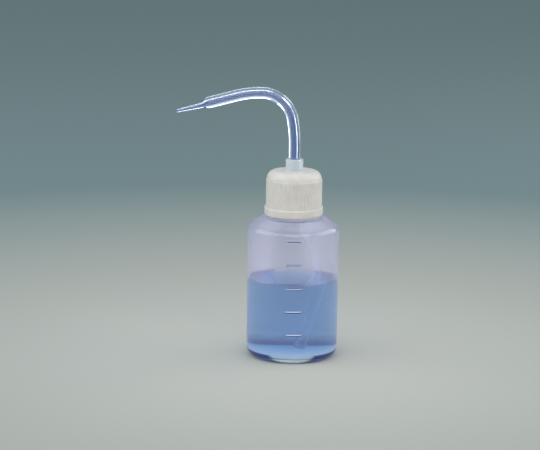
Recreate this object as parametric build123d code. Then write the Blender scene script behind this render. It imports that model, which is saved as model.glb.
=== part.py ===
"""A 100 ml laboratory wash bottle: squeeze bottle, screw cap, inner plug, bent spout, dip tube, contents.

Millimetres, +Z up. The origin is the centre of the base, on the surface that the bottle stands on.
The spout points to -X, the dip tube bows to +X, and the volume marks face -Y.
"""
from build123d import *
import math
import os

# ---------------------------------------------------------------- driving dimensions
# bottle
BODY_RADIUS = 23.75
WALL = 1.0
BASE_THICKNESS = 2.4
HEEL_RADIUS = 5.0
SHOULDER_START = 68.9       # height where the wall's line meets the sloping shoulder's line
SHOULDER_TOP = 73.7         # height of the narrow flat round the neck
SHOULDER_TOP_RADIUS = 16.2
SHOULDER_FILLET = 3.6
NECK_RADIUS = 11.2
NECK_WALL = 1.7
NECK_FILLET = 0.8
LIP_HEIGHT = 94.3

# screw thread, right-handed, one start
THREAD_LEAD = 3.5
NECK_THREAD_HEIGHT = 1.0
NECK_THREAD_START = 86.6
NECK_THREAD_TURNS = 1.25
CAP_THREAD_TURNS = 1.25
CAP_THREAD_LEAD_IN = 90.0   # degrees round from where the neck's thread starts
CAP_THREAD_OFFSET = -1.7    # from the neck's thread, about half a lead, so that the two interleave
CAP_THREAD_RADIUS = 11.6    # crest of the cap's thread
THREAD_ROOT_WIDTH = 1.5
THREAD_CREST_WIDTH = 0.7
THREAD_ROOTING = 0.3        # how deep each thread is let into its own wall

# volume marks
MARK_FIRST = 15.7
MARK_SPACING = 12.2
MARK_COUNT = 5
MARK_LENGTH = 8.7
TOP_MARK_LENGTH = 7.0
MARK_WIDTH = 0.7
MARK_RELIEF = 0.15

# screw cap
CAP_BOTTOM = 74.2
CAP_BAND_RADIUS = 15.15
CAP_BAND_HEIGHT = 4.5
CAP_GRIP_RADIUS = 14.5
CAP_GRIP_TOP = 93.1
CAP_DOME_RADIUS = 14.2
CAP_TOP = 97.8
CAP_CROWN_RADIUS = 10.4     # where the dome's rounding meets the nearly flat top
CAP_CROWN_RISE = 0.25
CAP_RIM_ROUNDING = 1.4
CAP_BORE_RADIUS = 12.7
CAP_CEILING = 95.6
CAP_HOLE_RADIUS = 4.6
RIB_COUNT = 66
RIB_GROOVE_RADIUS = 0.45
RIB_GROOVE_DEPTH = 0.25
BEAD_RADIUS = 11.6          # inner bead that keeps the plug in the cap
BEAD_HEIGHT = 0.7
BEAD_TOP = 94.2

# inner plug
PLUG_FLANGE_RADIUS = 11.95
PLUG_FLANGE_THICKNESS = 1.2
PLUG_FLANGE_ROOTING = 1.0   # how deep the flange is let into the barrel
PLUG_SKIRT_CLEARANCE = 0.05
PLUG_SKIRT_WALL = 1.0
PLUG_SKIRT_LENGTH = 5.0
COLLAR_RADIUS = 4.5
COLLAR_TOP = 103.5
COLLAR_EDGE = 0.35
BOSS_BOTTOM = 86.0
BORE_STEP = 93.0            # the spout fits the bore above this height, the dip tube below it

# spout tube
SPOUT_RADIUS = 3.0
SPOUT_BORE_RADIUS = 1.1
SPOUT_CLEARANCE = 0.05
SPOUT_FOOT = 93.15
SPOUT_BEND_START = 110.0
# radius and turn in degrees, from the foot on
SPOUT_BENDS = ((80.0, 10.0), (16.5, 80.0), (50.0, 15.0))
SPOUT_REACH = 14.5          # straight run after the bends
# drawn tip: distance along the run, sag below its line, outer radius, bore radius
TIP_SECTIONS = ((0.0, 0.0, 3.0, 1.1), (4.3, 0.45, 1.4, 0.7), (17.0, 0.2, 0.82, 0.42))

# dip tube
DIP_RADIUS = 2.35
DIP_BORE_RADIUS = 1.55
DIP_CLEARANCE = 0.01
DIP_TOP = 92.8
DIP_ROUTE = ((0.0, 83.1), (13.3, 45.4), (2.9, 4.8))      # corners and open end, as x and z
DIP_BENDS = (15.0, 25.0)

# contents
LIQUID_LEVEL = 40.9
LIQUID_GAP = 0.04


# ---------------------------------------------------------------- shared shapes
def turned(face):
    """The solid that a half profile drawn in the XZ plane makes when it is turned about Z."""
    return revolve(face, axis=Axis.Z)


def ring(outer_radius, inner_radius, bottom, top):
    """A plain tube standing on a given height."""
    section = Circle(outer_radius) - Circle(inner_radius)
    return extrude(Plane.XY.offset(bottom) * section, amount=top - bottom)


def thread(wall_radius, crest_radius, start, turns, phase):
    """A helical ridge of trapezoid section, let into the wall that carries it."""
    inwards = 1 if crest_radius > wall_radius else -1
    rooted = wall_radius - inwards * THREAD_ROOTING
    half_root = THREAD_ROOT_WIDTH / 2
    half_crest = THREAD_CREST_WIDTH / 2
    outline = Polyline(
        (rooted, start - half_root),
        (wall_radius, start - half_root),
        (crest_radius, start - half_crest),
        (crest_radius, start + half_crest),
        (wall_radius, start + half_root),
        (rooted, start + half_root),
        close=True,
    )
    section = Plane.XZ * make_face(outline)
    path = Helix(THREAD_LEAD, THREAD_LEAD * turns, wall_radius, center=(0, 0, start))
    return Rot(0, 0, phase) * sweep(section, path=path, is_frenet=True)


def tube(path, start_plane, outer_radius, inner_radius):
    """A tube of one section along a path of lines and tangent arcs."""
    return sweep(start_plane * (Circle(outer_radius) - Circle(inner_radius)), path=path)


# ---------------------------------------------------------------- bottle
def bottle_profile(inset, floor, top):
    """Half section of the bottle's body and neck, drawn in from the outside by the wall."""
    slope = math.atan2(SHOULDER_TOP - SHOULDER_START, BODY_RADIUS - SHOULDER_TOP_RADIUS)
    drop = inset / math.cos(slope)
    neck = NECK_RADIUS - (NECK_WALL if inset else 0)
    flat = SHOULDER_TOP - inset
    shoulder_start = SHOULDER_START - drop + inset * math.tan(slope)
    rise = (flat - shoulder_start) / math.tan(slope)
    outline = Polyline(
        (0, floor),
        (BODY_RADIUS - inset, floor),
        (BODY_RADIUS - inset, shoulder_start),
        (BODY_RADIUS - inset - rise, flat),
        (neck, flat),
        (neck, top),
        (0, top),
        close=True,
    )
    face = make_face(outline)
    corners = {
        (BODY_RADIUS - inset, floor): HEEL_RADIUS - inset,
        (BODY_RADIUS - inset, shoulder_start): SHOULDER_FILLET - inset,
        (neck, flat): NECK_FILLET + inset,
    }
    for (x, y), radius in corners.items():
        corner = face.vertices().sort_by_distance((x, y, 0))[0]
        face = fillet(corner, radius)
    return Plane.XZ * face


def volume_marks():
    """Raised bars on the front of the body, one for each fifth of the volume."""
    bars = []
    for index in range(MARK_COUNT):
        length = TOP_MARK_LENGTH if index == MARK_COUNT - 1 else MARK_LENGTH
        height = MARK_FIRST + index * MARK_SPACING
        band = ring(
            BODY_RADIUS + MARK_RELIEF,
            BODY_RADIUS - WALL / 2,
            height - MARK_WIDTH / 2,
            height + MARK_WIDTH / 2,
        )
        window = Pos(0, -BODY_RADIUS, height) * Box(length, BODY_RADIUS, 2 * MARK_WIDTH)
        bars.append(band & window)
    return bars


def bottle():
    shell = turned(bottle_profile(0, 0, LIP_HEIGHT))
    cavity = turned(bottle_profile(WALL, BASE_THICKNESS, LIP_HEIGHT + 1))
    neck_thread = thread(
        NECK_RADIUS, NECK_RADIUS + NECK_THREAD_HEIGHT, NECK_THREAD_START, NECK_THREAD_TURNS, 0
    )
    body = shell - cavity + neck_thread
    for bar in volume_marks():
        body += bar
    return body


# ---------------------------------------------------------------- screw cap
def cap_profile():
    """Half section of the cap's outside: bottom band, grip, rounded dome and nearly flat top."""
    band_top = CAP_BOTTOM + CAP_BAND_HEIGHT
    sides = Polyline(
        (0, CAP_BOTTOM),
        (CAP_BAND_RADIUS, CAP_BOTTOM),
        (CAP_BAND_RADIUS, band_top),
        (CAP_GRIP_RADIUS, band_top),
        (CAP_GRIP_RADIUS, CAP_GRIP_TOP),
        (CAP_DOME_RADIUS, CAP_GRIP_TOP),
    )
    crown = CAP_TOP - CAP_CROWN_RISE
    dome = EllipticalCenterArc(
        (CAP_CROWN_RADIUS, CAP_GRIP_TOP),
        CAP_DOME_RADIUS - CAP_CROWN_RADIUS,
        crown - CAP_GRIP_TOP,
        start_angle=0,
        arc_size=90,
    )
    top = Polyline((CAP_CROWN_RADIUS, crown), (CAP_HOLE_RADIUS, CAP_TOP), (0, CAP_TOP), (0, CAP_BOTTOM))
    face = make_face(sides + dome + top)
    rim = face.vertices().sort_by_distance((CAP_BAND_RADIUS, CAP_BOTTOM, 0))[0]
    return Plane.XZ * fillet(rim, CAP_RIM_ROUNDING)


def screw_cap():
    body = turned(cap_profile())
    body -= Pos(0, 0, CAP_CEILING) * Cylinder(
        CAP_BORE_RADIUS, LIP_HEIGHT, align=(Align.CENTER, Align.CENTER, Align.MAX)
    )
    body -= Pos(0, 0, CAP_TOP) * Cylinder(CAP_HOLE_RADIUS, 4 * (CAP_TOP - CAP_CEILING))
    band_top = CAP_BOTTOM + CAP_BAND_HEIGHT
    groove = Pos(0, 0, band_top) * Cylinder(
        RIB_GROOVE_RADIUS, CAP_GRIP_TOP - band_top, align=(Align.CENTER, Align.CENTER, Align.MIN)
    )
    reach = CAP_GRIP_RADIUS + RIB_GROOVE_RADIUS - RIB_GROOVE_DEPTH
    body -= [place * groove for place in PolarLocations(reach, RIB_COUNT)]
    body += ring(CAP_BORE_RADIUS + THREAD_ROOTING, BEAD_RADIUS, BEAD_TOP - BEAD_HEIGHT, BEAD_TOP)
    thread_start = NECK_THREAD_START + CAP_THREAD_OFFSET + THREAD_LEAD * CAP_THREAD_LEAD_IN / 360
    body += thread(CAP_BORE_RADIUS, CAP_THREAD_RADIUS, thread_start, CAP_THREAD_TURNS, CAP_THREAD_LEAD_IN)
    return body


# ---------------------------------------------------------------- inner plug
def inner_plug():
    flange_top = LIP_HEIGHT + PLUG_FLANGE_THICKNESS
    flange = ring(PLUG_FLANGE_RADIUS, COLLAR_RADIUS - PLUG_FLANGE_ROOTING, LIP_HEIGHT, flange_top)
    skirt_radius = NECK_RADIUS - NECK_WALL - PLUG_SKIRT_CLEARANCE
    skirt = ring(skirt_radius, skirt_radius - PLUG_SKIRT_WALL, LIP_HEIGHT - PLUG_SKIRT_LENGTH, LIP_HEIGHT)
    barrel = Pos(0, 0, BOSS_BOTTOM) * Cylinder(
        COLLAR_RADIUS, COLLAR_TOP - BOSS_BOTTOM, align=(Align.CENTER, Align.CENTER, Align.MIN)
    )
    barrel = fillet(barrel.edges().sort_by(Axis.Z)[-1], COLLAR_EDGE)
    spout_bore = Pos(0, 0, BORE_STEP) * Cylinder(
        SPOUT_RADIUS + SPOUT_CLEARANCE, COLLAR_TOP, align=(Align.CENTER, Align.CENTER, Align.MIN)
    )
    dip_bore = Pos(0, 0, BORE_STEP) * Cylinder(DIP_RADIUS + DIP_CLEARANCE, 4 * (BORE_STEP - BOSS_BOTTOM))
    return flange + skirt + barrel - spout_bore - dip_bore


# ---------------------------------------------------------------- spout
def spout_tube():
    """A thick tube bent over in one sweep, whose end is heated and drawn out into a fine tip."""
    path = Line((0, SPOUT_FOOT), (0, SPOUT_BEND_START))
    for radius, turn in SPOUT_BENDS:
        path += JernArc(path @ 1, path % 1, radius, turn)
    end, heading = path @ 1, path % 1
    tip_start = end + heading * SPOUT_REACH
    path += Line(end, tip_start)
    stem = tube(Plane.XZ * path, Plane.XY.offset(SPOUT_FOOT), SPOUT_RADIUS, SPOUT_BORE_RADIUS)
    forward = Vector(heading.X, 0, heading.Y)
    down = Vector(-heading.Y, 0, heading.X)
    outer, bore = [], []
    for distance, sag, outer_radius, bore_radius in TIP_SECTIONS:
        centre = Vector(tip_start.X, 0, tip_start.Y) + forward * distance + down * sag
        plane = Plane(origin=centre, x_dir=(0, 1, 0), z_dir=forward)
        outer.append(plane * Circle(outer_radius))
        bore.append(plane * Circle(bore_radius))
    return stem + (loft(outer, ruled=True) - loft(bore, ruled=True))


# ---------------------------------------------------------------- dip tube and contents
def dip_path(extra):
    """The dip tube's centre line from its top end down to its open end, made longer by extra."""
    (x1, z1), (x2, z2) = DIP_ROUTE[-2:]
    run = math.hypot(x2 - x1, z2 - z1)
    end = (x2 + (x2 - x1) * extra / run, z2 + (z2 - z1) * extra / run)
    return Plane.XZ * FilletPolyline((0, DIP_TOP), *DIP_ROUTE[:-1], end, radius=list(DIP_BENDS))


def dip_tube():
    return tube(dip_path(0), Plane.XY.offset(DIP_TOP), DIP_RADIUS, DIP_BORE_RADIUS)


def liquid():
    """The contents, with the dip tube's wall left out, so that they also stand inside the tube."""
    fill = turned(bottle_profile(WALL + LIQUID_GAP, BASE_THICKNESS + LIQUID_GAP, LIP_HEIGHT))
    above = Pos(0, 0, LIQUID_LEVEL) * Box(
        4 * BODY_RADIUS, 4 * BODY_RADIUS, LIP_HEIGHT, align=(Align.CENTER, Align.CENTER, Align.MIN)
    )
    sheath = tube(
        dip_path(LIQUID_GAP), Plane.XY.offset(DIP_TOP), DIP_RADIUS + LIQUID_GAP, DIP_BORE_RADIUS - LIQUID_GAP
    )
    return fill - above - sheath


# ---------------------------------------------------------------- output
PARTS = {
    "bottle": bottle,
    "screw_cap": screw_cap,
    "inner_plug": inner_plug,
    "spout_tube": spout_tube,
    "dip_tube": dip_tube,
    "liquid": liquid,
}

os.makedirs("parts", exist_ok=True)
for name, make in PARTS.items():
    shape = make()
    export_step(shape, f"parts/{name}.step")
    box = shape.bounding_box()
    print(f"{name:12s} volume {shape.volume:9.1f} mm3  solids {len(shape.solids())}  valid {shape.is_valid}")
    print("             from", [round(v, 2) for v in box.min], "to", [round(v, 2) for v in box.max])
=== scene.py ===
"""Looks of a 100 ml wash bottle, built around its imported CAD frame.

Lengths are written in millimetres, as in the CAD, and turned into metres where a mesh is made.
Every piece is skinned from rings: a turned piece from the points of its outline, a tube from the
circles along its route.
"""
import math

import bpy
import numpy as np
from mathutils import Matrix, Vector


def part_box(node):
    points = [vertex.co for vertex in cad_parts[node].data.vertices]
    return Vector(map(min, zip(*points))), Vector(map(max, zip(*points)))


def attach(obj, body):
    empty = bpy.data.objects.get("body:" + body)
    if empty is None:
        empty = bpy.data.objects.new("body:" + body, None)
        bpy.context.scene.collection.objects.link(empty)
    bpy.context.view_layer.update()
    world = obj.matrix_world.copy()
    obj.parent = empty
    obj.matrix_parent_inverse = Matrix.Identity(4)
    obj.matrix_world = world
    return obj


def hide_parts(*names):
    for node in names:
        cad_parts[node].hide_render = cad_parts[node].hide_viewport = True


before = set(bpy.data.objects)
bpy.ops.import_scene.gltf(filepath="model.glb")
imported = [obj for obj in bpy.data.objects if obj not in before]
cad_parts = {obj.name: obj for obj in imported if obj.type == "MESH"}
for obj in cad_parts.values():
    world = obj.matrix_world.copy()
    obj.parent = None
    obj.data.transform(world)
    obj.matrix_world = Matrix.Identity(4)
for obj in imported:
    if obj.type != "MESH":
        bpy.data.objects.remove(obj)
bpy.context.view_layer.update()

MM = 0.001
SEGMENTS = 256


def node_box(node):
    """Lowest and highest corner of a CAD node, in millimetres."""
    low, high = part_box(node)
    return low / MM, high / MM


# ---------------------------------------------------------------- sizes taken from the frame
BOTTLE_HIGH = node_box("bottle")[1]
CAP_LOW, CAP_HIGH = node_box("screw_cap")
PLUG_LOW, PLUG_HIGH = node_box("inner_plug")
SPOUT_LOW, SPOUT_HIGH = node_box("spout_tube")
DIP_HIGH = node_box("dip_tube")[1]
LIQUID_HIGH = node_box("liquid")[1]

BODY_RADIUS = BOTTLE_HIGH.x
LIP = BOTTLE_HIGH.z
WALL = 1.0
FLOOR_THICKNESS = 2.4
FLOOR_DISH = 0.1
HEEL = 5.0
PUSH_UP = 0.5
PUSH_UP_RADIUS = BODY_RADIUS - 9.5
FOOT_INNER_RADIUS = BODY_RADIUS - 7.0
SHOULDER_START = 68.9
SHOULDER_ROUNDING = 3.6
SHOULDER_TOP = 73.7
SHOULDER_TOP_RADIUS = 16.2
NECK_RADIUS = 11.2
NECK_WALL = 1.7

THREAD_LEAD = 3.5
THREAD_ROOT = 1.5
THREAD_CREST = 0.7
NECK_THREAD_START = 86.6
NECK_THREAD_HEIGHT = 1.0
CAP_THREAD_START = 85.775
CAP_THREAD_HEIGHT = 1.1
CAP_THREAD_PHASE = 90.0
THREAD_TURNS = 1.25
THREAD_RUN_OUT = 0.06         # turns over which each end tapers off

LOWEST_MARK = 15.7
MARK_STEP = 12.2
MARK_HEIGHTS = [LOWEST_MARK + MARK_STEP * i for i in range(5)]
MARK_LENGTHS = (7.6, 7.8, 8.4, 7.8, 6.8)
MARK_WIDTH = 0.95
# within each mark, from its middle: the heights of its pale stripe, a painted highlight, and those of its
# dark ones, painted shade
MARK_HIGHLIGHT_BANDS = ((0.02, 0.36), (0.02, 0.36), (-0.2, 0.12), (-0.1, 0.1), (-0.75, -0.35))
MARK_SHADE_BANDS = ((-0.55, 0.5), (-0.55, 0.5), (-0.45, 0.5), (-0.32, 0.3), (-0.35, 0.1))
MARK_RELIEF = 0.2
MARK_FLANK = 0.2              # width of the slope along a mark's sides
MARK_END = 0.6                # length of the slope at its ends
MARK_DIRECTION = math.radians(-88.5)
# where the base's milky disc, painted light, and the heel's tint, painted shade, end
HEEL_TOP = 4.6
HEEL_TOP_BACK = 8.0
BASE_DISC = 19.6
INNER_BASE_DISC = 18.1
# height below which the front heel is painted dark: a painted contact shadow
CONTACT_SHADE_TOP = 0.35
HIGHLIGHT_MIST_START = 1.0              # above the liquid

CAP_BOTTOM = CAP_LOW.z
CAP_BAND_RADIUS = CAP_HIGH.x
CAP_BAND_TOP = CAP_BOTTOM + 4.5
CAP_GRIP_RADIUS = 14.5
CAP_GRIP_TOP = 93.1
CAP_DOME_RADIUS = 14.2
CAP_TOP = CAP_HIGH.z
CAP_BORE_RADIUS = 12.7
CAP_CEILING = 95.6
CAP_HOLE_RADIUS = 4.6
CAP_CROWN_RADIUS = 10.4       # where the dome's rounding meets the flat top
CAP_THREAD_TOP = 93.0
CAP_BEAD = 1.1                # how far the bead that holds the plug stands out in the cap
CAP_BEAD_LOW = 93.3
CAP_BEAD_HIGH = 94.3
RIB_COUNT = 66
RIB_DEPTH = 0.14

COLLAR_TOP = PLUG_HIGH.z
COLLAR_RADIUS = 4.5
FLANGE_RADIUS = 11.95
FLANGE_THICKNESS = 1.2
SKIRT_DEPTH = 5.0
SPOUT_BORE_IN_PLUG = 3.05
DIP_BORE_IN_PLUG = 2.36
BORE_STEP = 93.0

SPOUT_FOOT = SPOUT_LOW.z
SPOUT_BEND_START = 110.0
SPOUT_BENDS = ((80.0, 10.0), (16.5, 80.0), (50.0, 15.0))
SPOUT_REACH = 14.5
SPOUT_RADIUS = SPOUT_HIGH.y
SPOUT_BORE = 1.1
# along the drawn tip: distance, sag below the tube's line, outer radius, bore radius
TIP = ((0.0, 0.0, 3.0, 1.1), (1.1, 0.04, 2.82, 1.06), (2.2, 0.2, 2.25, 0.95), (3.3, 0.38, 1.66, 0.8),
       (4.3, 0.45, 1.42, 0.7), (5.6, 0.46, 1.32, 0.66), (11.0, 0.33, 1.03, 0.53), (17.0, 0.2, 0.80, 0.42))

DIP_RADIUS = DIP_HIGH.y
DIP_BORE = 1.55
DIP_TOP = DIP_HIGH.z
DIP_CORNERS = ((0.0, DIP_TOP), (0.0, 83.1), (13.3, 45.4), (2.9, 4.8))
DIP_BENDS = (15.0, 25.0)

LIQUID_LEVEL = LIQUID_HIGH.z


# ---------------------------------------------------------------- outlines
def unit(v):
    return v / np.linalg.norm(v)


def fillet_points(before, corner, after, radius, step=8.0):
    """Points of the arc that rounds a corner, in order."""
    a, b = unit(before - corner), unit(after - corner)
    half = math.acos(max(-1.0, min(1.0, float(a @ b)))) / 2
    reach = radius / math.tan(half)
    centre = corner + unit(a + b) * radius / math.sin(half)
    start, end = corner + a * reach - centre, corner + b * reach - centre
    first = math.atan2(start[1], start[0])
    turn = (math.atan2(end[1], end[0]) - first + math.pi) % (2 * math.pi) - math.pi
    count = max(3, math.ceil(abs(math.degrees(turn)) / step))
    angles = first + turn * np.linspace(0, 1, count + 1)
    return [centre + radius * np.array((math.cos(t), math.sin(t))) for t in angles]


def rounded(corners, closed=False, support=0.2, longest=3.0):
    """An outline through corners given as (x, z) or (x, z, fillet), with extra points along its straights."""
    points = [np.array(c[:2], float) for c in corners]
    radii = [c[2] if len(c) > 2 else 0.0 for c in corners]
    runs = []
    for i, (point, radius) in enumerate(zip(points, radii)):
        is_end = not closed and i in (0, len(points) - 1)
        if radius and not is_end:
            runs.append(fillet_points(points[i - 1], point, points[(i + 1) % len(points)], radius))
        else:
            runs.append([point])
    made = []
    for i, run in enumerate(runs):
        made += run
        if not closed and i == len(runs) - 1:
            break
        start, end = run[-1], runs[(i + 1) % len(runs)][0]
        length = float(np.linalg.norm(end - start))
        if length < 4 * support:
            continue
        inner = np.linspace(support, length - support, max(2, math.ceil(length / longest) + 1))
        made += [start + (end - start) * d / length for d in inner]
    return np.array(made)


def denser(points, centre, half_width, step):
    """Adds points to an upright straight of an outline, close together around one height."""
    low, high = centre - half_width, centre + half_width
    heights = list(np.arange(low, high + step / 2, step))
    made = [points[0]]
    for a, b in zip(points[:-1], points[1:]):
        if abs(a[0] - b[0]) < 1e-6:
            between = [h for h in heights if min(a[1], b[1]) + step / 3 < h < max(a[1], b[1]) - step / 3]
            made += [np.array((a[0], h)) for h in sorted(between, reverse=a[1] > b[1])]
        made.append(b)
    return np.array(made)


# ---------------------------------------------------------------- meshes
def skin(name, rings, closed=False):
    """A mesh through rings of points, in millimetres. A closed one joins its last ring to its first;
    an open one is shut by a pole at each end."""
    rings = np.asarray(rings, float)
    count, around = rings.shape[:2]
    verts = rings.reshape(-1, 3)
    faces = []
    for i in range(count if closed else count - 1):
        a, b = i * around, ((i + 1) % count) * around
        for j in range(around):
            k = (j + 1) % around
            faces.append((a + j, a + k, b + k, b + j))
    if not closed:
        first, last = len(verts), len(verts) + 1
        verts = np.vstack([verts, rings[0].mean(0), rings[-1].mean(0)])
        top = (count - 1) * around
        for j in range(around):
            k = (j + 1) % around
            faces.append((first, k, j))
            faces.append((last, top + j, top + k))
    mesh = bpy.data.meshes.new(name)
    mesh.from_pydata((verts * MM).tolist(), [], faces)
    mesh.validate()
    mesh.polygons.foreach_set("use_smooth", np.ones(len(mesh.polygons), bool))
    mesh.update()
    obj = bpy.data.objects.new(name, mesh)
    bpy.context.scene.collection.objects.link(obj)
    return obj


def lathe(name, outline, closed=False, relief=None, segments=SEGMENTS, paint=None):
    """Turns an outline of (radius, height) about Z. relief(angle, height, index) adds to the radius.
    paint(angle, radius, height, index) gives each face's material index from its middle."""
    if not closed:
        outline = outline[1:-1] if outline[0][0] < 1e-6 and outline[-1][0] < 1e-6 else outline
    angle = np.linspace(0, 2 * math.pi, segments, endpoint=False)[None, :]
    radius = outline[:, :1] + 0 * angle
    height = outline[:, 1:] + 0 * angle
    if relief:
        radius = radius + relief(angle + 0 * radius, height, np.arange(len(outline))[:, None])
    rings = np.stack([radius * np.cos(angle), radius * np.sin(angle), height], axis=2)
    obj = skin(name, rings, closed)
    if paint:
        after = np.roll(outline, -1, axis=0)[:len(outline) - (0 if closed else 1)]
        middle = (outline[:len(after)] + after) / 2
        at = angle + math.pi / segments + 0 * middle[:, :1]
        index = np.arange(len(middle))[:, None] + 0 * at
        faces = paint(at, middle[:, :1] + 0 * at, middle[:, 1:] + 0 * at, index)
        faces = faces.astype(np.int32).ravel()
        if not closed:
            ends = np.tile([faces[0], faces[-1]], segments)
            faces = np.concatenate([faces, ends])
        obj.data.polygons.foreach_set("material_index", faces)
    return obj


def route_of_bends(start, runs):
    """Points and headings along a route in the XZ plane: ("line", length) or ("arc", radius, degrees)."""
    place, heading = np.array(start, float), 0.0
    points, headings = [place.copy()], [heading]
    for run in runs:
        if run[0] == "line":
            steps = max(1, round(run[1] / 2.0))
            for _ in range(steps):
                place += np.array((-math.sin(heading), math.cos(heading))) * run[1] / steps
                points.append(place.copy())
                headings.append(heading)
        else:
            steps = max(4, round(abs(run[2]) / 2.5))
            turn = math.radians(run[2]) / steps
            chord = 2 * run[1] * math.sin(abs(turn) / 2)
            for _ in range(steps):
                middle = heading + turn / 2
                place += np.array((-math.sin(middle), math.cos(middle))) * chord
                heading += turn
                points.append(place.copy())
                headings.append(heading)
    return np.array(points), np.array(headings)


def headings_of(points):
    """The heading at each point of a route, from its neighbours."""
    tangent = np.gradient(points, axis=0)
    return np.unwrap(np.arctan2(-tangent[:, 0], tangent[:, 1]))


def circles(points, headings, radii, around):
    """Rings square to a route in the XZ plane."""
    angle = np.linspace(0, 2 * math.pi, around, endpoint=False)
    rings = []
    for (x, z), heading, radius in zip(points, headings, radii):
        across = np.array((math.cos(heading), 0, math.sin(heading)))
        aside = np.array((0.0, -1.0, 0.0))
        centre = np.array((x, 0, z))
        rings.append(centre + radius * (np.cos(angle)[:, None] * across - np.sin(angle)[:, None] * aside))
    return rings


def tube(name, points, headings, outer, inner, around=96, lip=0.15):
    """A closed pipe along a route, with rounded lips at both ends."""
    forward = np.stack([-np.sin(headings), np.cos(headings)], axis=1)

    def end_rings(index, sign):
        """The lip from the outer wall round to the bore."""
        middle = (outer[index] + inner[index]) / 2
        half = (outer[index] - inner[index]) / 2
        rim = min(lip, 0.45 * half)
        made_points, made_radii = [], []
        for degrees in (30, 60, 90):
            t = math.radians(degrees)
            made_points.append(points[index] + sign * forward[index] * rim * (math.sin(t) - 1))
            made_radii.append(outer[index] - rim * (1 - math.cos(t)))
        made_points.append(points[index])
        made_radii.append(middle)
        for degrees in (90, 60, 30):
            t = math.radians(degrees)
            made_points.append(points[index] + sign * forward[index] * rim * (math.sin(t) - 1))
            made_radii.append(inner[index] + rim * (1 - math.cos(t)))
        return circles(made_points, [headings[index]] * len(made_points), made_radii, around)

    body = slice(1, -1)
    outside = circles(points[body], headings[body], outer[body], around)
    inside = circles(points[body], headings[body], inner[body], around)
    rings = outside + end_rings(-1, 1) + inside[::-1] + end_rings(0, -1)[::-1]
    made = skin(name, rings, closed=True)
    bore_faces = np.zeros(len(made.data.polygons), np.int32)
    first = (len(outside) + 4) * around
    bore_faces[first:first + (len(inside) + 2) * around] = 1
    made.data.polygons.foreach_set("material_index", bore_faces)
    return made


def thread_height(angle, height, start, phase, crest):
    """How far a helical thread stands out at each point, tapering off at both ends."""
    turned = (np.degrees(angle) - phase) % 360 / 360
    best = np.zeros_like(height)
    for lap in range(math.ceil(THREAD_TURNS) + 1):
        turns = turned + lap
        run_out = np.clip(np.minimum(turns, THREAD_TURNS - turns) / THREAD_RUN_OUT, 0, 1)
        off = np.abs(height - (start + THREAD_LEAD * turns))
        flank = (THREAD_ROOT / 2 - off) / (THREAD_ROOT / 2 - THREAD_CREST / 2)
        best = np.maximum(best, np.clip(flank, 0, 1) * run_out)
    best = best * best * (3 - 2 * best)
    return crest * best


# ---------------------------------------------------------------- materials
def material(name, colour, roughness, **sockets):
    """A Principled material. Returns it with its node tree and its shader."""
    made = bpy.data.materials.new(name)
    made.use_nodes = True
    tree = made.node_tree
    shader = tree.nodes["Principled BSDF"]
    shader.inputs["Base Color"].default_value = (*colour, 1)
    shader.inputs["Roughness"].default_value = roughness
    for socket, value in sockets.items():
        shader.inputs[socket.replace("_", " ")].default_value = value
    return made, tree, shader


def texture_space(tree):
    """Object coordinates in metres, the same on the mesh wherever it moves."""
    return tree.nodes.new("ShaderNodeTexCoord").outputs["Object"]


def noise(tree, scale, detail=3.0, roughness=0.5, stretch=(1, 1, 1)):
    """Noise whose scale is in features per metre."""
    mapping = tree.nodes.new("ShaderNodeMapping")
    mapping.inputs["Scale"].default_value = stretch
    tree.links.new(texture_space(tree), mapping.inputs["Vector"])
    node = tree.nodes.new("ShaderNodeTexNoise")
    node.inputs["Scale"].default_value = scale
    node.inputs["Detail"].default_value = detail
    node.inputs["Roughness"].default_value = roughness
    tree.links.new(mapping.outputs["Vector"], node.inputs["Vector"])
    return node.outputs["Fac"]


def ramp(tree, value, stops):
    """A colour ramp over value: stops are (position, (r, g, b)) pairs."""
    node = tree.nodes.new("ShaderNodeValToRGB")
    elements = node.color_ramp.elements
    while len(elements) < len(stops):
        elements.new(0.5)
    for element, (position, colour) in zip(elements, stops):
        element.position = position
        element.color = (*colour, 1)
    tree.links.new(value, node.inputs["Fac"])
    return node.outputs["Color"]


def span(tree, value, low, high):
    """Maps 0..1 onto low..high."""
    node = tree.nodes.new("ShaderNodeMapRange")
    node.inputs["To Min"].default_value = low
    node.inputs["To Max"].default_value = high
    tree.links.new(value, node.inputs["Value"])
    return node.outputs["Result"]


def along_axis(tree, axis, low, high):
    """Where a point lies along an axis, as 0..1 from low to high, in millimetres."""
    axes = tree.nodes.new("ShaderNodeSeparateXYZ")
    tree.links.new(texture_space(tree), axes.inputs["Vector"])
    place = tree.nodes.new("ShaderNodeMapRange")
    place.inputs["From Min"].default_value = low * MM
    place.inputs["From Max"].default_value = high * MM
    tree.links.new(axes.outputs[axis], place.inputs["Value"])
    return place.outputs["Result"]


def bump(tree, shader, height, strength, distance):
    node = tree.nodes.new("ShaderNodeBump")
    node.inputs["Strength"].default_value = strength
    node.inputs["Distance"].default_value = distance
    tree.links.new(height, node.inputs["Height"])
    tree.links.new(node.outputs["Normal"], shader.inputs["Normal"])


def mixed(tree, share, first, second):
    """A shader socket with a share of the second shader in the first. share is a number or a socket."""
    node = tree.nodes.new("ShaderNodeMixShader")
    if isinstance(share, float):
        node.inputs["Fac"].default_value = share
    else:
        tree.links.new(share, node.inputs["Fac"])
    tree.links.new(first, node.inputs[1])
    tree.links.new(second, node.inputs[2])
    return node.outputs["Shader"]


def milky(tree, surface, share, colour):
    """Mixes in the milkiness of a natural plastic: part of the light is thrown back, and part crosses."""
    back = tree.nodes.new("ShaderNodeBsdfDiffuse")
    across = tree.nodes.new("ShaderNodeBsdfTranslucent")
    for node in (back, across):
        node.inputs["Color"].default_value = (*colour, 1)
    return mixed(tree, share, surface, mixed(tree, 0.5, back.outputs["BSDF"], across.outputs["BSDF"]))


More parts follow.
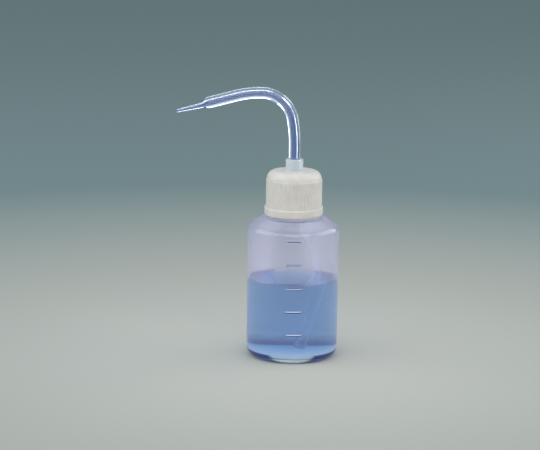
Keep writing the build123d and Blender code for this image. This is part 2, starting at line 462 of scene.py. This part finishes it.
def open_to_lamps(tree, surface, tint):
    """Lets the lamps light what is behind, tinted, and leads the result to the output."""
    path = tree.nodes.new("ShaderNodeLightPath")
    clear = tree.nodes.new("ShaderNodeBsdfTransparent")
    clear.inputs["Color"].default_value = (*tint, 1)
    both = mixed(tree, path.outputs["Is Shadow Ray"], surface, clear.outputs["BSDF"])
    tree.links.new(both, tree.nodes["Material Output"].inputs["Surface"])


def bottle_plastic(name, milk):
    """Natural polythene, clear but for a violet milkiness."""
    made, tree, shader = material(
        name, (0.94, 0.915, 0.98) if milk else (0.97, 0.97, 0.99), 0.12, IOR=1.49, Transmission_Weight=1.0,
        Sheen_Weight=0.22 if milk else 0.0, Sheen_Roughness=0.4, Sheen_Tint=(0.80, 0.84, 1.0, 1.0),
    )
    cloud = noise(tree, 90, 4, 0.55, (1, 1, 0.45))
    tree.links.new(span(tree, cloud, 0.05, 0.12), shader.inputs["Roughness"])
    bump(tree, shader, noise(tree, 140, 2, 0.4, (1, 1, 0.5)), 0.15, 0.0002)
    surface = shader.outputs["BSDF"]
    if milk:
        surface = milky(tree, surface, milk, (0.66, 0.65, 0.95))
    open_to_lamps(tree, surface, (0.8, 0.83, 0.89) if milk else (0.97, 0.97, 0.98))
    return made


# across the bottle, from left to right: place, share of mist, whose bands at the left and right are painted
# highlights
HIGHLIGHT_MIST_SHARES = ((0.0, 0.0), (0.2, 0.1), (0.4, 0.0), (0.52, 0.0), (0.72, 0.1), (1.0, 0.0))


def highlight_mist_plastic():
    """The inside of the wall above the liquid, misted at the left and right: the misted bands are painted
    highlights, for the soft reflections of the side lamps.
    """
    made, tree, shader = material("bottle_highlight_mist", (0.97, 0.95, 0.99), 0.1, IOR=1.49, Transmission_Weight=1.0)
    across = along_axis(tree, "X", -BODY_RADIUS, BODY_RADIUS)
    share = ramp(tree, across, [(place, (value,) * 3) for place, value in HIGHLIGHT_MIST_SHARES])
    surface = milky(tree, shader.outputs["BSDF"], share, (0.9, 0.85, 0.85))
    open_to_lamps(tree, surface, (0.95, 0.95, 0.96))
    return made


def heel_shade_plastic(name, axis, stops):
    """The bottle's thick bottom corner, tinted navy as painted shade where it looks dark. stops are (mm,
    colour) pairs.
    """
    made, tree, shader = material(
        name, stops[0][1], 0.08, IOR=1.49, Transmission_Weight=1.0,
        Sheen_Weight=0.08, Sheen_Roughness=0.25, Sheen_Tint=(0.9, 0.95, 1.0, 1.0),
    )
    low, high = stops[0][0], stops[-1][0]
    shares = [((place - low) / (high - low), colour) for place, colour in stops]
    tree.links.new(ramp(tree, along_axis(tree, axis, low, high), shares), shader.inputs["Base Color"])
    bump(tree, shader, noise(tree, 140, 2, 0.4), 0.15, 0.0002)
    open_to_lamps(tree, shader.outputs["BSDF"], (0.7, 0.85, 0.9))
    return made


def base_painted_light_plastic():
    """The bottle's underside, milkier than its wall: its white milkiness is painted light, for the bright
    floor and the light focused through the base.
    """
    made, tree, shader = material("bottle_base", (0.97, 0.98, 1.0), 0.15, IOR=1.49, Transmission_Weight=1.0)
    tree.links.new(span(tree, noise(tree, 160, 3), 0.1, 0.2), shader.inputs["Roughness"])
    bump(tree, shader, noise(tree, 120, 2, 0.4), 0.2, 0.0003)
    surface = milky(tree, shader.outputs["BSDF"], 0.9, (0.98, 0.98, 0.98))
    open_to_lamps(tree, surface, (0.95, 0.95, 0.95))
    return made


def mark_plastic(name, colour):
    made, tree, shader = material(name, colour, 0.3, IOR=1.49)
    bump(tree, shader, noise(tree, 900, 2, 0.4), 0.2, 0.00005)
    return made


def cap_plastic():
    made, tree, shader = material(
        "cap_plastic", (0.54, 0.525, 0.485), 0.4, IOR=1.49,
        Subsurface_Weight=1.0, Subsurface_Scale=0.004,
    )
    shader.inputs["Subsurface Radius"].default_value = (1.0, 0.9, 0.75)
    mottle = noise(tree, 220, 4, 0.6)
    tree.links.new(
        ramp(tree, mottle, ((0.3, (0.525, 0.495, 0.455)), (0.7, (0.58, 0.555, 0.515)))),
        shader.inputs["Base Color"],
    )
    tree.links.new(span(tree, noise(tree, 500, 3), 0.32, 0.5), shader.inputs["Roughness"])
    bump(tree, shader, noise(tree, 2600, 3, 0.6), 0.2, 0.00005)
    open_to_lamps(tree, shader.outputs["BSDF"], (0.75, 0.75, 0.73))
    return made


def plug_plastic():
    made, tree, shader = material(
        "plug_plastic", (0.96, 0.98, 1.0), 0.22, IOR=1.49, Transmission_Weight=1.0
    )
    tree.links.new(span(tree, noise(tree, 300, 3), 0.18, 0.3), shader.inputs["Roughness"])
    bump(tree, shader, noise(tree, 900, 2, 0.5), 0.15, 0.00005)
    surface = milky(tree, shader.outputs["BSDF"], 0.48, (0.7, 0.7, 0.67))
    open_to_lamps(tree, surface, (0.8, 0.83, 0.85))
    return made


def tube_plastic(name, glass, colour, milk, roughness, ior=1.49, sheen=0.0):
    """Clear plastic tinted by glass, with a share of milkiness of the given colour."""
    made, tree, shader = material(
        name, glass, roughness, IOR=ior, Transmission_Weight=1.0,
        Sheen_Weight=sheen, Sheen_Roughness=0.3,
    )
    bump(tree, shader, noise(tree, 160, 2, 0.4, (1, 1, 0.4)), 0.2, 0.0001)
    surface = milky(tree, shader.outputs["BSDF"], milk, colour)
    open_to_lamps(tree, surface, (0.88, 0.9, 0.95))
    return made


def blue_liquid():
    made, tree, shader = material(
        "blue_liquid", (1.0, 1.0, 1.0), 0.0, IOR=1.333, Transmission_Weight=1.0
    )
    volume = tree.nodes.new("ShaderNodeVolumeAbsorption")
    volume.inputs["Color"].default_value = (0.02, 0.56, 0.90, 1)
    volume.inputs["Density"].default_value = 36.0
    output = tree.nodes["Material Output"]
    tree.links.new(volume.outputs["Volume"], output.inputs["Volume"])
    open_to_lamps(tree, shader.outputs["BSDF"], (1.0, 0.83, 0.65))
    return made


# ---------------------------------------------------------------- bottle
# the bottle's materials, in the order of its slots
OUTSIDE, INSIDE, HEEL_FRONT, BASE, MARK_HIGHLIGHT, MARK_SHADE, HEEL_BACK, HIGHLIGHT_MIST = range(8)
SHADE_NAVY, CLEAR, FADED = (0.006, 0.016, 0.16), (0.95, 0.98, 1.0), (0.9, 0.92, 0.98)
# painted shade on the heel: along Y the front heel goes from clear, at its foremost, to navy; up Z the back
# one fades out
HEEL_FRONT_SHADE_STOPS = ((-23.75, CLEAR), (-21.9, CLEAR), (-20.3, SHADE_NAVY), (0.0, SHADE_NAVY))
HEEL_BACK_SHADE_STOPS = ((0.0, SHADE_NAVY), (3.0, SHADE_NAVY), (8.0, FADED))


def bottle_mesh():
    slope = math.atan2(SHOULDER_TOP - SHOULDER_START, BODY_RADIUS - SHOULDER_TOP_RADIUS)
    drop = WALL / math.cos(slope) - WALL * math.tan(slope)
    inner_radius = BODY_RADIUS - WALL
    inner_flat = SHOULDER_TOP - WALL
    inner_reach = inner_radius - (inner_flat - SHOULDER_START + drop) / math.tan(slope)
    outside = rounded([
        (0, PUSH_UP),
        (PUSH_UP_RADIUS, PUSH_UP, 8.0),
        (FOOT_INNER_RADIUS, 0, 1.2),
        (BODY_RADIUS, 0, HEEL),
        (BODY_RADIUS, SHOULDER_START, SHOULDER_ROUNDING),
        (SHOULDER_TOP_RADIUS, SHOULDER_TOP, 1.0),
        (NECK_RADIUS, SHOULDER_TOP, 0.8),
        (NECK_RADIUS, LIP, 0.3),
        (NECK_RADIUS - NECK_WALL / 2, LIP),
    ])
    for height in MARK_HEIGHTS:
        outside = denser(outside, height, 0.8, 0.1)
    outside = denser(outside, (LIP + NECK_THREAD_START) / 2 - 1, 6.0, 0.2)
    inside = rounded([
        (NECK_RADIUS - NECK_WALL / 2, LIP),
        (NECK_RADIUS - NECK_WALL, LIP, 0.3),
        (NECK_RADIUS - NECK_WALL, inner_flat, 1.8),
        (inner_reach, inner_flat, 1.0),
        (inner_radius, SHOULDER_START - drop, SHOULDER_ROUNDING - WALL),
        (inner_radius, FLOOR_THICKNESS, HEEL - 1),
        (PUSH_UP_RADIUS, FLOOR_THICKNESS + FLOOR_DISH, 6.0),
        (0, FLOOR_THICKNESS + PUSH_UP),
    ])
    outline = np.vstack([outside, inside[1:]])
    last_outside = len(outside)

    def along_front(angle):
        """Distance round the wall from the middle of the marks, in millimetres."""
        turned = (angle - MARK_DIRECTION + math.pi) % (2 * math.pi) - math.pi
        return np.abs(turned) * BODY_RADIUS

    def relief(angle, height, index):
        along = along_front(angle)
        marks = np.zeros_like(height)
        for centre, length in zip(MARK_HEIGHTS, MARK_LENGTHS):
            up = np.clip(((MARK_WIDTH + MARK_FLANK) / 2 - np.abs(height - centre)) / MARK_FLANK, 0, 1)
            end = np.clip(((length + MARK_END) / 2 - along) / MARK_END, 0, 1)
            marks = np.maximum(marks, up * end)
        thread = thread_height(angle, height, NECK_THREAD_START, 0, NECK_THREAD_HEIGHT)
        outer = index < last_outside
        body = (height < SHOULDER_START) & outer
        neck = (height > SHOULDER_TOP + 4) & (height < LIP - 0.5) & outer
        return MARK_RELIEF * marks * body + thread * neck

    def paint(angle, radius, height, index):
        faces = np.where(index < last_outside - 2, OUTSIDE, INSIDE)
        heel = (height < HEEL_TOP) & (radius > BASE_DISC)
        base = (height < HEEL_TOP) & (radius <= BASE_DISC)
        # the heel's lower band is painted navy as shade: all round at the back, and towards the sides at the
        # front
        back = (height < HEEL_TOP_BACK) & (radius > BASE_DISC) & (np.sin(angle) > 0)
        faces[back & (faces == OUTSIDE)] = HEEL_BACK
        faces[heel & (faces == OUTSIDE)] = HEEL_FRONT
        # the outer base disc gets the milky white finish: painted light
        faces[base & (faces == OUTSIDE)] = BASE
        # the lowest band of the front heel takes the dark mark finish: a painted contact shadow
        faces[(faces == HEEL_FRONT) & (height < CONTACT_SHADE_TOP)] = MARK_SHADE
        # the inner base disc gets the same painted light
        inner_base = (height < FLOOR_THICKNESS + PUSH_UP + FLOOR_DISH) & (radius < INNER_BASE_DISC)
        faces[(faces == INSIDE) & inner_base] = BASE
        # the inside above the liquid gets the misted finish, whose bands at left and right are painted
        # highlights
        highlight_band = (height > LIQUID_LEVEL + HIGHLIGHT_MIST_START) & (height < SHOULDER_TOP - WALL / 2)
        faces[(faces == INSIDE) & highlight_band] = HIGHLIGHT_MIST
        along = along_front(angle)
        # each mark's pale stripe is a painted highlight and its dark stripes are painted shade
        for centre, length, pale, dark in zip(MARK_HEIGHTS, MARK_LENGTHS, MARK_HIGHLIGHT_BANDS, MARK_SHADE_BANDS):
            off = height - centre
            inside = (along < length / 2) & (radius > BODY_RADIUS - WALL / 10) & (faces == OUTSIDE)
            faces[inside & (off > dark[0]) & (off < dark[1])] = MARK_SHADE
            faces[inside & (off > pale[0]) & (off < pale[1])] = MARK_HIGHLIGHT
        return faces

    shell = lathe("bottle_shell", outline, relief=relief, paint=paint)
    for finish in (
        bottle_plastic("bottle_outside", 0.13),
        bottle_plastic("bottle_inside", 0.0),
        heel_shade_plastic("heel_front_shade", "Y", HEEL_FRONT_SHADE_STOPS),
        base_painted_light_plastic(),
        # pale and dark finishes for the marks: painted highlight and painted shade
        mark_plastic("mark_painted_highlight", (0.66, 0.72, 0.86)),
        mark_plastic("mark_painted_shade", (0.03, 0.05, 0.13)),
        heel_shade_plastic("heel_back_shade", "Z", HEEL_BACK_SHADE_STOPS),
        highlight_mist_plastic(),
    ):
        shell.data.materials.append(finish)
    return shell


def liquid_mesh():
    overlap = 0.06
    radius = BODY_RADIUS - WALL + overlap
    outline = rounded([
        (0, FLOOR_THICKNESS + PUSH_UP - overlap),
        (PUSH_UP_RADIUS, FLOOR_THICKNESS + FLOOR_DISH - overlap, 6.0),
        (radius, FLOOR_THICKNESS - overlap, HEEL - 1),
        (radius, LIQUID_LEVEL + 0.55),
        (radius - 0.12, LIQUID_LEVEL + 0.35),
        (radius - 0.6, LIQUID_LEVEL + 0.08, 0.4),
        (radius - 2.2, LIQUID_LEVEL, 1.5),
        (0, LIQUID_LEVEL),
    ])
    return lathe("liquid_fill", outline)


# ---------------------------------------------------------------- cap and plug
def cap_mesh():
    across, up = CAP_DOME_RADIUS - CAP_CROWN_RADIUS, CAP_TOP - 0.25 - CAP_GRIP_TOP
    turns = [math.radians(degrees) for degrees in range(0, 91, 6)]
    dome = [(CAP_CROWN_RADIUS + across * math.cos(t), CAP_GRIP_TOP + up * math.sin(t)) for t in turns]
    outside = rounded([
        (CAP_BORE_RADIUS + 0.9, CAP_BOTTOM, 0.3),
        (CAP_BAND_RADIUS, CAP_BOTTOM, 1.4),
        (CAP_BAND_RADIUS, CAP_BAND_TOP, 0.25),
        (CAP_GRIP_RADIUS, CAP_BAND_TOP + 0.12, 0.12),
        (CAP_GRIP_RADIUS, CAP_GRIP_TOP, 0.25),
        (CAP_DOME_RADIUS, CAP_GRIP_TOP + 0.05),
    ], longest=1.0)
    top = rounded([
        (CAP_HOLE_RADIUS + 0.6, CAP_TOP - 0.02, 0.2),
        (CAP_HOLE_RADIUS, CAP_TOP - 0.02, 0.25),
        (CAP_HOLE_RADIUS, CAP_CEILING, 0.2),
        (CAP_BORE_RADIUS, CAP_CEILING, 0.5),
        (CAP_BORE_RADIUS, CAP_BEAD_HIGH),
        (CAP_BORE_RADIUS - CAP_BEAD, CAP_BEAD_HIGH - 0.1, 0.15),
        (CAP_BORE_RADIUS - CAP_BEAD, CAP_BEAD_LOW + 0.2, 0.15),
        (CAP_BORE_RADIUS, CAP_BEAD_LOW),
        (CAP_BORE_RADIUS, CAP_BOTTOM + 0.6),
        (CAP_BORE_RADIUS + 0.6, CAP_BOTTOM),
    ], longest=0.25)
    outline = np.vstack([outside[:-1], np.array(dome), top])
    split = len(outside) + len(dome)

    def relief(angle, height, index):
        phase = np.cos(angle * RIB_COUNT)
        groove = np.clip((0.25 - phase) / 1.25, 0, 1) ** 0.7
        ends = np.clip(np.minimum(height - CAP_BAND_TOP - 0.3, CAP_GRIP_TOP - 0.35 - height) / 0.4, 0, 1)
        outer = index < split
        on_grip = outer & (height > CAP_BAND_TOP) & (height < CAP_GRIP_TOP)
        thread = thread_height(angle, height, CAP_THREAD_START, CAP_THREAD_PHASE, CAP_THREAD_HEIGHT)
        inner = ~outer & (height > CAP_BOTTOM + 1) & (height < CAP_THREAD_TOP)
        return -RIB_DEPTH * groove * ends * on_grip - thread * inner

    return lathe("cap_shell", outline, closed=True, relief=relief, segments=RIB_COUNT * 12)


def plug_mesh():
    flange_top = LIP + FLANGE_THICKNESS
    skirt = NECK_RADIUS - NECK_WALL - 0.05
    outline = rounded([
        (COLLAR_RADIUS, COLLAR_TOP, 0.35),
        (SPOUT_BORE_IN_PLUG, COLLAR_TOP, 0.3),
        (SPOUT_BORE_IN_PLUG, BORE_STEP, 0.05),
        (DIP_BORE_IN_PLUG, BORE_STEP, 0.1),
        (DIP_BORE_IN_PLUG, PLUG_LOW.z, 0.2),
        (COLLAR_RADIUS, PLUG_LOW.z, 0.4),
        (COLLAR_RADIUS, LIP, 0.3),
        (skirt - 1, LIP, 0.3),
        (skirt - 1, LIP - SKIRT_DEPTH, 0.3),
        (skirt, LIP - SKIRT_DEPTH, 0.3),
        (skirt, LIP, 0.1),
        (FLANGE_RADIUS, LIP, 0.25),
        (FLANGE_RADIUS, flange_top, 0.25),
        (COLLAR_RADIUS, flange_top, 0.2),
    ], closed=True)
    return lathe("plug_shell", outline, closed=True)


# ---------------------------------------------------------------- tubes
def spout_mesh():
    runs = [("line", SPOUT_BEND_START - SPOUT_FOOT)]
    runs += [("arc", radius, turn) for radius, turn in SPOUT_BENDS]
    runs += [("line", SPOUT_REACH)]
    points, headings = route_of_bends((0, SPOUT_FOOT), runs)
    heading = headings[-1]
    forward = np.array((-math.sin(heading), math.cos(heading)))
    down = np.array((-math.cos(heading), -math.sin(heading)))
    distances = [t[0] for t in TIP]
    fine = np.linspace(0, distances[-1], 40)[1:]
    sag, outer_tip, inner_tip = (np.interp(fine, distances, [t[k] for t in TIP]) for k in (1, 2, 3))
    tip = points[-1] + forward * fine[:, None] + down * sag[:, None]
    count = len(points)
    points = np.vstack([points, tip])
    outer = np.concatenate([np.full(count, SPOUT_RADIUS), outer_tip])
    inner = np.concatenate([np.full(count, SPOUT_BORE), inner_tip])
    made = tube("spout_pipe", points, headings_of(points), outer, inner)
    for finish in (
        tube_plastic("spout_plastic", (0.52, 0.60, 0.76), (0.35, 0.45, 0.85), milk=0.03, roughness=0.03),
        tube_plastic("spout_bore", (0.97, 0.98, 1.0), (0.08, 0.11, 0.25), milk=0.25, roughness=0.05),
    ):
        made.data.materials.append(finish)
    return made


def dip_mesh():
    corners = [np.array(c) for c in DIP_CORNERS]
    points = [corners[0]]
    for i in (1, 2):
        arc = fillet_points(corners[i - 1], corners[i], corners[i + 1], DIP_BENDS[i - 1], step=1.5)
        count = max(2, round(float(np.linalg.norm(arc[0] - points[-1])) / 2.5))
        points += [points[-1] + (arc[0] - points[-1]) * k / count for k in range(1, count)]
        points += arc
    count = max(2, round(float(np.linalg.norm(corners[3] - points[-1])) / 2.5))
    last = points[-1]
    points += [last + (corners[3] - last) * k / count for k in range(1, count + 1)]
    points = np.array(points)
    outer = np.full(len(points), DIP_RADIUS)
    inner = np.full(len(points), DIP_BORE)
    return tube("dip_pipe", points, headings_of(points), outer, inner, around=72)


# ---------------------------------------------------------------- stage, lights and camera
# the backdrop paper, from warm grey at the bottle to teal far behind it, and darker away from the bottle as
# painted falloff of the light: distance in metres, colour
FLOOR_RAMP_REACH = 2.4
FLOOR_TINT_AND_FALLOFF = (
    (0.0, (0.475, 0.465, 0.42)),
    (0.2, (0.345, 0.35, 0.315)),
    (0.5, (0.155, 0.21, 0.21)),
    (1.3, (0.15, 0.205, 0.205)),
)
FLOOR_RINGS = (0.05, 0.2, 0.5, 1.0, 2.0, 4.0, 6.0)


def add_floor():
    """A round sheet of paper, in metres."""
    around = 96
    turns = np.linspace(0, 2 * math.pi, around, endpoint=False)
    verts = [(r * math.cos(t), r * math.sin(t), 0) for r in FLOOR_RINGS for t in turns]
    faces = [tuple(range(around))]
    for i in range(len(FLOOR_RINGS) - 1):
        for j in range(around):
            k = (j + 1) % around
            faces.append((i * around + j, (i + 1) * around + j, (i + 1) * around + k, i * around + k))
    mesh = bpy.data.meshes.new("floor")
    mesh.from_pydata(verts, [], faces)
    floor = bpy.data.objects.new("floor", mesh)
    bpy.context.scene.collection.objects.link(floor)
    made, tree, shader = material("floor_paper_and_falloff", (0.5, 0.5, 0.46), 0.75)
    shader.inputs["Specular IOR Level"].default_value = 0.1
    from_bottle = tree.nodes.new("ShaderNodeVectorMath")
    from_bottle.operation = "LENGTH"
    tree.links.new(texture_space(tree), from_bottle.inputs[0])
    scaled = tree.nodes.new("ShaderNodeMath")
    scaled.operation = "MULTIPLY"
    scaled.inputs[1].default_value = 1 / FLOOR_RAMP_REACH
    tree.links.new(from_bottle.outputs["Value"], scaled.inputs[0])
    # the paper's tint and a painted falloff of the light, by distance from the bottle
    stops = [(distance / FLOOR_RAMP_REACH, colour) for distance, colour in FLOOR_TINT_AND_FALLOFF]
    tree.links.new(ramp(tree, scaled.outputs[0], stops), shader.inputs["Base Color"])
    floor.data.materials.append(made)


# by the sine of the height above the horizon
SKY_COLOURS = (
    (0.0, (0.30, 0.38, 0.39)),
    (0.12, (0.45, 0.50, 0.51)),
    (0.5, (0.62, 0.68, 0.72)),
    (1.0, (2.3, 2.6, 2.85)),
)


def add_world():
    world = bpy.data.worlds.new("studio")
    bpy.context.scene.world = world
    world.use_nodes = True
    tree = world.node_tree
    background = tree.nodes["Background"]
    coordinates = tree.nodes.new("ShaderNodeTexCoord")
    separate = tree.nodes.new("ShaderNodeSeparateXYZ")
    tree.links.new(coordinates.outputs["Generated"], separate.inputs["Vector"])
    tree.links.new(ramp(tree, separate.outputs["Z"], SKY_COLOURS), background.inputs["Color"])
    background.inputs["Strength"].default_value = 0.5


WHITE, COOL, WARM, CREAM = (1, 1, 1), (0.97, 1.0, 1.05), (1.0, 0.95, 0.92), (1.0, 0.97, 0.95)
# name, place, aim, (width, height), watts, colour and roll in degrees
SOFTBOXES = (
    ("left_softbox", (-1.15, -0.35, 0.5), (0, 0, 0.06), (2.0, 1.4), 13.5, COOL, 0),
    ("right_softbox", (1.15, 0.2, 0.4), (0, 0, 0.06), (1.6, 1.2), 10.5, WHITE, 0),
    ("front_fill", (0.3, -1.75, 0.7), (0, 0, 0.08), (2.4, 1.5), 22.5, WHITE, 0),
)
# these light the spout only, and give the bright lines along its walls and its bore
SPOUT_LAMPS = (
    ("tube_side_strip", (0.28, 0.36, 0.05), (0, 0, 0.1), (0.2, 0.3), 0.12, WARM, 0),
    ("tube_back_strip", (0.1, 0.95, 0.55), (0, 0, 0.13), (1.1, 0.36), 1.0, WARM, 0),
    ("tube_edge_top", (-0.06, 0.36, 0.47), (-0.02, 0, 0.125), (0.36, 0.13), 0.9, CREAM, 0),
    ("tube_edge_bend", (0.285, 0.338, 0.358), (0, 0, 0.13), (0.3, 0.13), 0.75, CREAM, -45),
    ("tube_edge_side", (0.369, 0.253, 0.06), (0, 0, 0.11), (0.13, 0.22), 0.5, CREAM, 0),
)


def add_light(name, place, aim, size, power, colour, roll, only=None):
    """An area light of width and height size, in metres, turned towards aim and rolled by degrees. only is
    the one piece it lights."""
    lamp = bpy.data.lights.new(name, "AREA")
    lamp.shape = "RECTANGLE"
    lamp.size, lamp.size_y = size
    lamp.energy = power
    lamp.color = colour
    obj = bpy.data.objects.new(name, lamp)
    obj.location = place
    turned = (Vector(aim) - Vector(place)).to_track_quat("-Z", "Y").to_matrix()
    obj.rotation_euler = (turned @ Matrix.Rotation(math.radians(roll), 3, "Z")).to_euler()
    obj.visible_camera = False
    bpy.context.scene.collection.objects.link(obj)
    if only:
        lit = bpy.data.collections.new(name + "_lights")
        lit.objects.link(only)
        obj.light_linking.receiver_collection = lit


CAMERA_PLACE = (0.0, -1.04, 0.2764)
CAMERA_PITCH = 11.29
CAMERA_ROLL = 0.95
CAMERA_LENS = 136.4
CAMERA_SHIFT = -0.0435


def add_camera():
    """A long lens a little above the bottle, aimed slightly down, and rolled by less than a degree."""
    pitch, roll = math.radians(CAMERA_PITCH), math.radians(CAMERA_ROLL)
    forward = Vector((0, math.cos(pitch), -math.sin(pitch)))
    level = Vector((1, 0, 0))
    above = level.cross(forward)
    right = level * math.cos(roll) + above * math.sin(roll)
    up = above * math.cos(roll) - level * math.sin(roll)
    data = bpy.data.cameras.new("camera")
    data.sensor_width = 36.0
    data.lens = CAMERA_LENS
    data.shift_x = CAMERA_SHIFT
    data.clip_start = 0.01
    camera = bpy.data.objects.new("camera", data)
    camera.matrix_world = Matrix((
        (right.x, up.x, -forward.x, CAMERA_PLACE[0]),
        (right.y, up.y, -forward.y, CAMERA_PLACE[1]),
        (right.z, up.z, -forward.z, CAMERA_PLACE[2]),
        (0, 0, 0, 1),
    ))
    bpy.context.scene.collection.objects.link(camera)
    bpy.context.scene.camera = camera


# ---------------------------------------------------------------- assembly
def dress(piece, finish, body, node):
    """Gives a piece its material, the CAD body it moves with, and the CAD node it stands for."""
    if finish:
        piece.data.materials.append(finish)
    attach(piece, body)
    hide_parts(node)


add_camera()
dress(bottle_mesh(), None, "bottle_body", "bottle")
dress(liquid_mesh(), blue_liquid(), "bottle_body", "liquid")
dress(cap_mesh(), cap_plastic(), "cap_body", "screw_cap")
dress(plug_mesh(), plug_plastic(), "plug_body", "inner_plug")
spout = spout_mesh()
dress(spout, None, "spout_body", "spout_tube")
dip_plastic = tube_plastic(
    "dip_plastic", (0.97, 0.98, 1.0), (0.85, 0.87, 0.92), milk=0.02, roughness=0.06, ior=1.14, sheen=0.6
)
dress(dip_mesh(), dip_plastic, "plug_body", "dip_tube")
add_floor()
add_world()
for row in SOFTBOXES:
    add_light(*row)
for row in SPOUT_LAMPS:
    add_light(*row, only=spout)
bpy.context.scene.view_settings.view_transform = "Standard"
bpy.context.scene.cycles.max_bounces = 24
bpy.context.scene.cycles.transmission_bounces = 24
bpy.context.scene.cycles.transparent_max_bounces = 16
